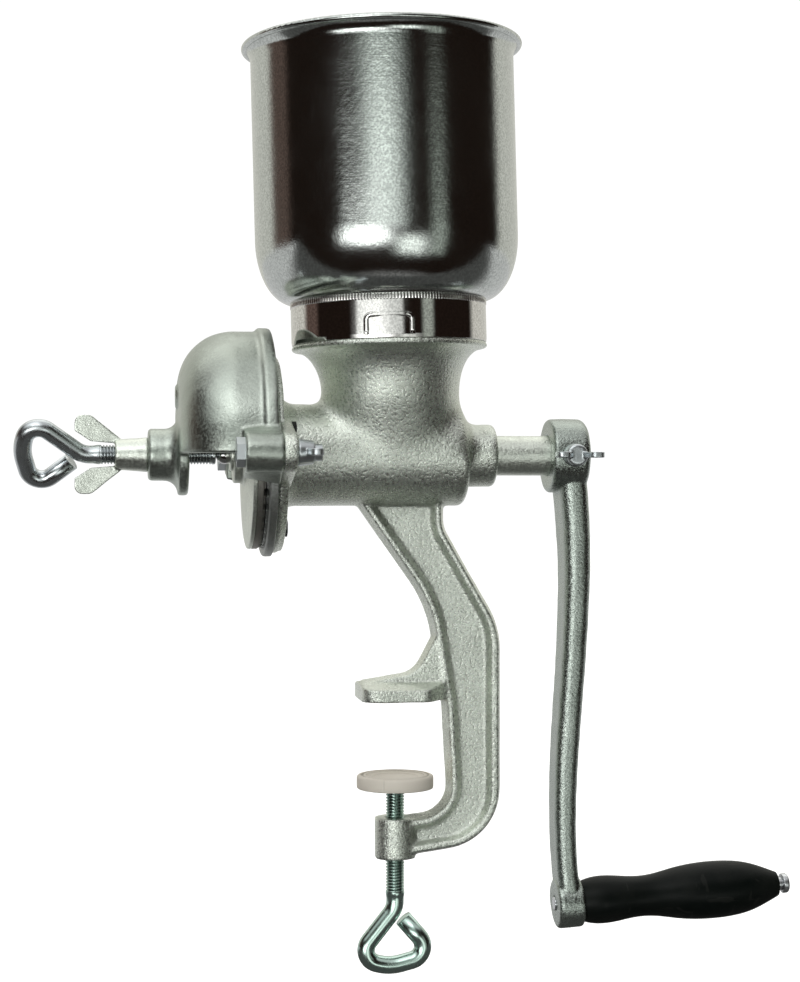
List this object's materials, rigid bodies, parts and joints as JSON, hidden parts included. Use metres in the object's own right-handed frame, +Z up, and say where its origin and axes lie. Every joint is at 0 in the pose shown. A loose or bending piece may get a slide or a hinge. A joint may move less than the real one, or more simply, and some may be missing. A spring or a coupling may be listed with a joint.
{
  "type": "hand crank plate grinder",
  "caption": "Table-clamp hand mill: tall sheet-metal hopper on a cast funnel, grinding plates under a hood, bent-rod adjusting screw, C-clamp leg and long crank with a turned wooden grip.",
  "frame": {"origin": "on the clamp screw's axis, at the underside of the jaw that rests on the table top", "axes": "+Z up out of the table towards the hopper, +X along the auger from the grinding head to the crank, +Y the far side of the mill"},
  "size_m": [0.3924, 0.165, 0.4654],
  "materials": {
    "tinned_iron": "tinned, semi-gloss over foundry grain",
    "tinned_iron_auger": "tinned, semi-gloss",
    "washer_steel": "turned",
    "fixed_plate_iron": "raw grey iron, rough",
    "dark_screw_steel": "blackened",
    "turning_plate_iron": "raw grey iron, rough",
    "tinned_iron_carrier": "tinned, semi-gloss",
    "pin_steel": "plain",
    "ball_steel": "polished",
    "tinned_iron_hood": "tinned, semi-gloss over foundry grain",
    "zinc_bolts": "zinc plated",
    "zinc_wing_nut": "zinc plated",
    "zinc_wing_nut_rear": "zinc plated",
    "zinc_adjusting_screw": "blue-white zinc",
    "tinned_wing_nut": "tinned, dull",
    "tinned_iron_crank": "tinned, semi-gloss",
    "zinc_thumb_screw": "zinc plated",
    "black_wood": "black lacquer, semi-gloss",
    "spindle_steel": "plain, riveted ends",
    "zinc_clamp_screw": "blue-white zinc",
    "disc_steel": "zinc plated",
    "pad_rubber": "cream, matt",
    "hopper_steel": "satin to bright spun steel",
    "collar_chrome": "bright"
  },
  "bodies": {
    "mill": {"body_casting": "tinned_iron", "thrust_washer": "washer_steel", "stationary_plate": "fixed_plate_iron", "plate_screws": "dark_screw_steel", "hood": "tinned_iron_hood", "hood_bolts": "zinc_bolts"},
    "thrust": {"thrust_ball": "ball_steel"},
    "rotor": {"auger": "tinned_iron_auger", "rotating_plate": "turning_plate_iron", "plate_carrier": "tinned_iron_carrier", "drive_pin": "pin_steel", "crank_arm": "tinned_iron_crank", "handle_spindle": "spindle_steel"},
    "adjuster": {"adjusting_screw": "zinc_adjusting_screw"},
    "lock_nut": {"lock_wing_nut": "tinned_wing_nut"},
    "hood_nut_front": {"hood_wing_nut_front": "zinc_wing_nut"},
    "hood_nut_rear": {"hood_wing_nut_rear": "zinc_wing_nut_rear"},
    "thumb_screw": {"crank_thumb_screw": "zinc_thumb_screw"},
    "grip": {"handle_grip": "black_wood"},
    "pad": {"clamp_disc": "disc_steel", "clamp_pad": "pad_rubber"},
    "clamp": {"clamp_screw": "zinc_clamp_screw"},
    "bowl": {"hopper": "hopper_steel", "hopper_collar": "collar_chrome"}
  },
  "joints": [
    {"name": "plate_gap", "type": "slide", "parent": "mill", "child": "thrust", "axis": [1, 0, 0], "range_m": [-0.004, 0.0004]},
    {"name": "adjuster_turn", "type": "hinge", "parent": "thrust", "child": "adjuster", "pos_m": [-0.12, 0, 0.1216], "axis": [1, 0, 0], "range_deg": [-961, 97]},
    {"name": "crank_turn", "type": "hinge", "parent": "thrust", "child": "rotor", "pos_m": [0, 0, 0.1216], "axis": [1, 0, 0], "continuous": true},
    {"name": "grip_spin", "type": "hinge", "parent": "rotor", "child": "grip", "pos_m": [0.082, 0, -0.1052], "axis": [0.9985, 0, 0.0541], "continuous": true},
    {"name": "thumb_screw_turn", "type": "hinge", "parent": "rotor", "child": "thumb_screw", "pos_m": [0.0872, -0.02, 0.1216], "axis": [0, 1, 0], "range_deg": [-180, 0]},
    {"name": "lock_nut_turn", "type": "hinge", "parent": "mill", "child": "lock_nut", "pos_m": [-0.13, 0, 0.1216], "axis": [1, 0, 0], "range_deg": [-180, 0]},
    {"name": "hood_nut_front_turn", "type": "hinge", "parent": "mill", "child": "hood_nut_front", "pos_m": [-0.05, -0.068, 0.1216], "axis": [1, 0, 0], "range_deg": [-180, 0]},
    {"name": "hood_nut_rear_turn", "type": "hinge", "parent": "mill", "child": "hood_nut_rear", "pos_m": [-0.05, 0.068, 0.1216], "axis": [1, 0, 0], "range_deg": [-180, 0]},
    {"name": "pad_lift", "type": "slide", "parent": "mill", "child": "pad", "axis": [0, 0, 1], "range_m": [-0.0095, 0.0185]},
    {"name": "clamp_screw_turn", "type": "hinge", "parent": "pad", "child": "clamp", "pos_m": [0, 0, -0.07], "axis": [0, 0, 1], "range_deg": [-2281, 4441]},
    {"name": "hopper_lift", "type": "slide", "parent": "mill", "child": "bowl", "axis": [-0.0262, 0, 0.9997], "range_m": [0, 0.02]}
  ],
  "couplings": [
    {"joint": "adjuster_turn", "follows": "plate_gap", "rad_per_m": 4188.8},
    {"joint": "clamp_screw_turn", "follows": "pad_lift", "rad_per_m": 4188.8}
  ]
}
